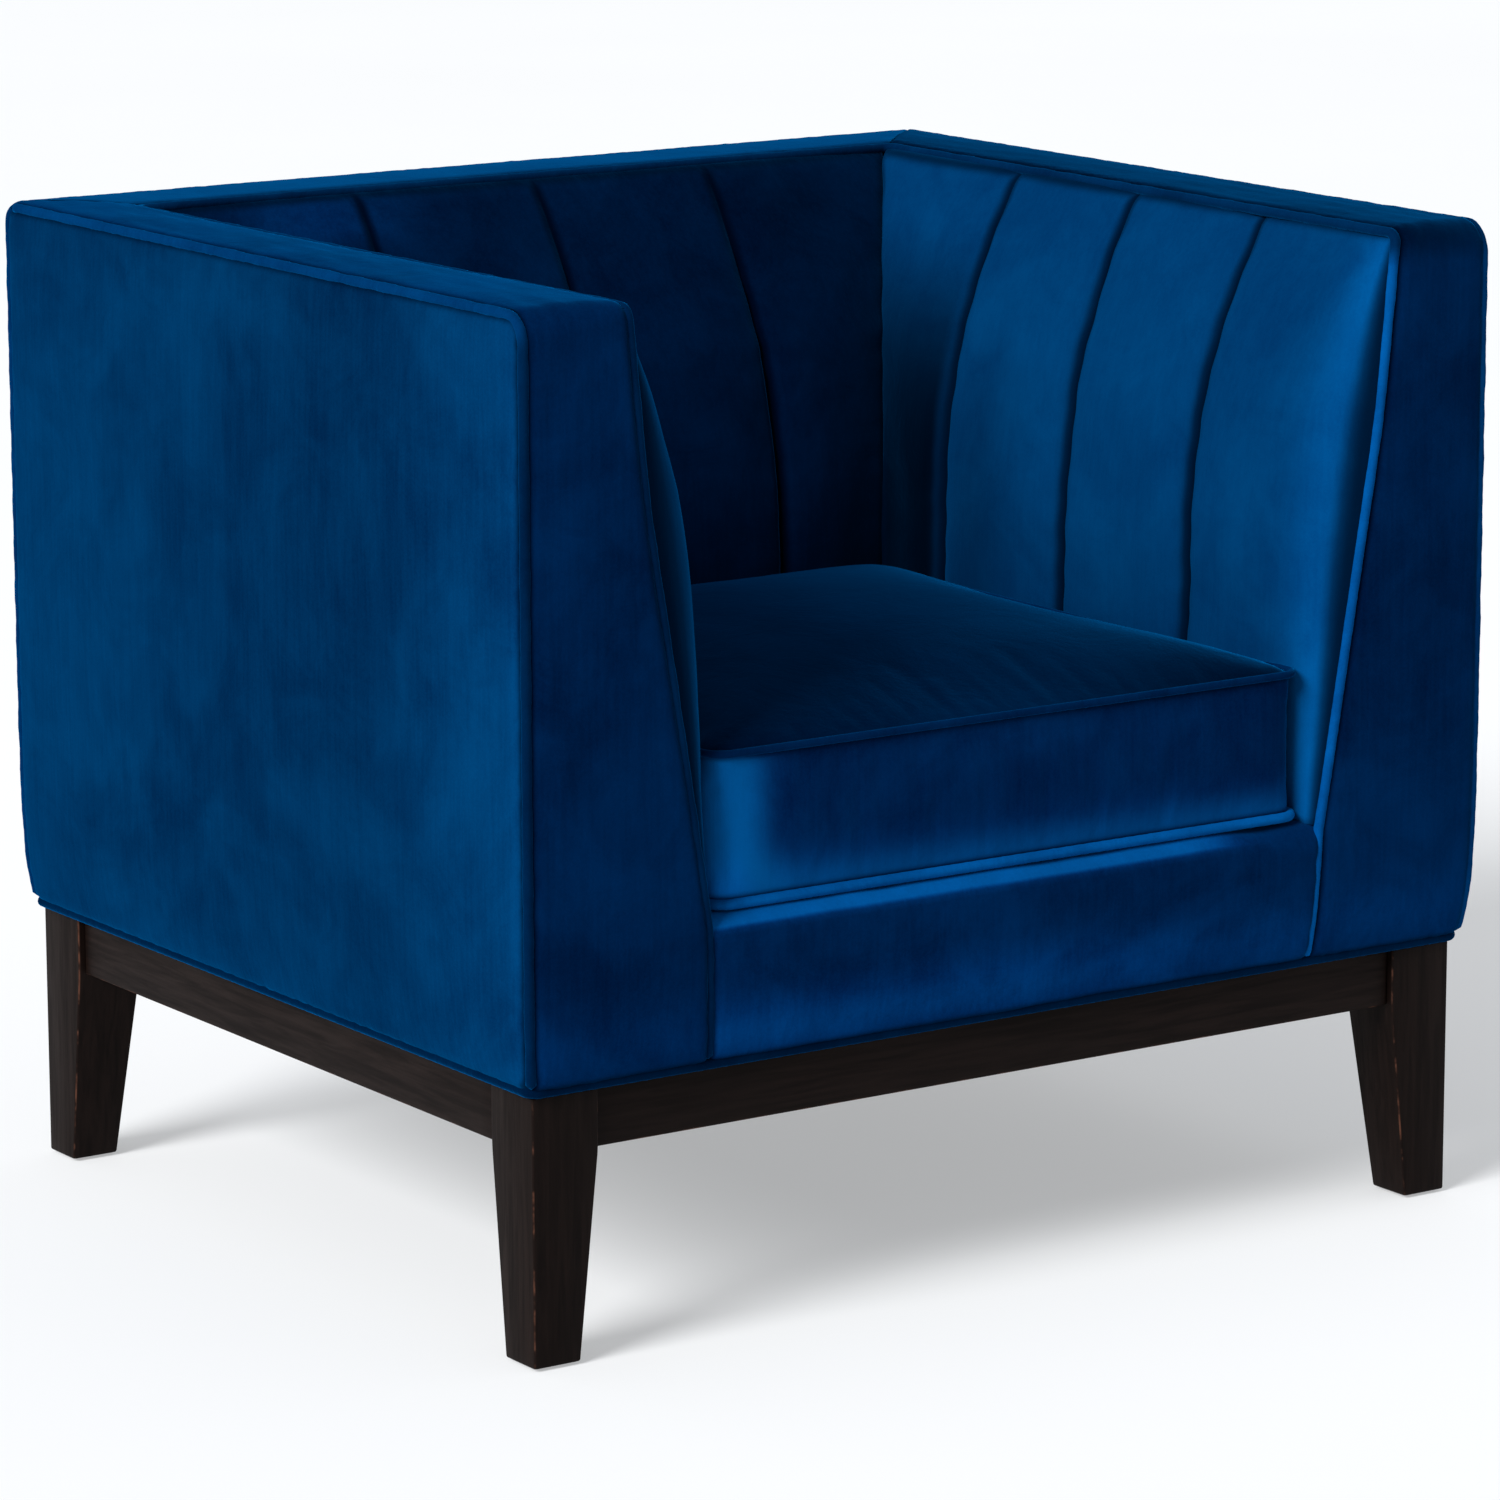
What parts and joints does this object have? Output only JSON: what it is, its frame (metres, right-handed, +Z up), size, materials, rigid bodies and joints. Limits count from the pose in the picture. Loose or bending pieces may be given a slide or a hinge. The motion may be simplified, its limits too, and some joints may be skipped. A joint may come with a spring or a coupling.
{
  "type": "upholstered armchair",
  "caption": "Square club armchair with level arms and back, upright sewn channels inside, piped edges, a loose seat cushion and a low wooden base on tapered legs.",
  "frame": {"origin": "on the floor under the middle of the chair's overall box", "axes": "+Z up, the sitter faces -Y, +X is to the right of someone who looks at the chair's front"},
  "size_m": [0.834, 0.722, 0.74],
  "materials": {
    "espresso_wood": "espresso stain under a satin lacquer, fine straight grain",
    "frame_wood": "planed beech, unfinished",
    "glide_nylon": "moulded nylon",
    "zinc_steel": "zinc plated steel",
    "spring_steel": "drawn spring wire, oiled",
    "jute": "plain woven jute webbing",
    "cambric": "black non-woven dust cloth",
    "foam": "upholstery foam",
    "velvet": "navy blue velvet with a short directional pile",
    "velvet_piping": "cord covered in the same navy velvet",
    "cushion_velvet": "navy blue velvet with a short directional pile",
    "zip_cloth": "woven zip tape with nylon teeth",
    "zip_metal": "nickel plated slider"
  },
  "bodies": {
    "chair": {"leg_front_left": "espresso_wood", "leg_front_right": "espresso_wood", "leg_rear_left": "espresso_wood", "leg_rear_right": "espresso_wood", "apron_front": "espresso_wood", "apron_rear": "espresso_wood", "apron_left": "espresso_wood", "apron_right": "espresso_wood", "corner_blocks": "frame_wood", "seat_rail_front": "frame_wood", "seat_rail_rear": "frame_wood", "seat_rail_left": "frame_wood", "seat_rail_right": "frame_wood", "seat_corner_blocks": "frame_wood", "front_rail_board": "frame_wood", "arm_board_left": "frame_wood", "arm_board_right": "frame_wood", "front_post_left": "frame_wood", "front_post_right": "frame_wood", "back_post_left": "frame_wood", "back_post_right": "frame_wood", "arm_top_rail_left": "frame_wood", "arm_top_rail_right": "frame_wood", "arm_tack_rail_left": "frame_wood", "arm_tack_rail_right": "frame_wood", "back_top_rail": "frame_wood", "back_tack_rail": "frame_wood", "glides": "glide_nylon", "leg_bolts": "zinc_steel", "base_screws": "zinc_steel", "seat_springs": "spring_steel", "spring_clips": "spring_steel", "spring_stay_wires": "spring_steel", "webbing": "jute", "dust_cover": "cambric", "deck_pad": "foam", "deck_cover": "velvet", "outside_arm_left": "velvet", "outside_arm_right": "velvet", "outside_back": "velvet", "arm_front_left": "velvet", "arm_front_right": "velvet", "arm_top_left": "velvet", "arm_top_right": "velvet", "back_top": "velvet", "arm_nose_pads": "velvet", "inside_arm_left": "velvet", "inside_arm_right": "velvet", "inside_back": "velvet", "front_rail_cover": "velvet", "outer_arm_welts": "velvet_piping", "inner_welt": "velvet_piping", "back_welt": "velvet_piping", "base_welt": "velvet_piping"},
    "cushion": {"cushion_core": "foam", "cushion_cover": "cushion_velvet", "cushion_welts": "velvet_piping", "zip_tape": "zip_cloth"},
    "slider": {"zip_slider": "zip_metal"}
  },
  "joints": [
    {"name": "cushion_lift", "type": "slide", "parent": "chair", "child": "cushion", "axis": [0, 0, 1], "range_m": [0, 0.46]},
    {"name": "zip_slide", "type": "slide", "parent": "cushion", "child": "slider", "axis": [-1, 0, 0], "range_m": [0, 0.422]}
  ]
}
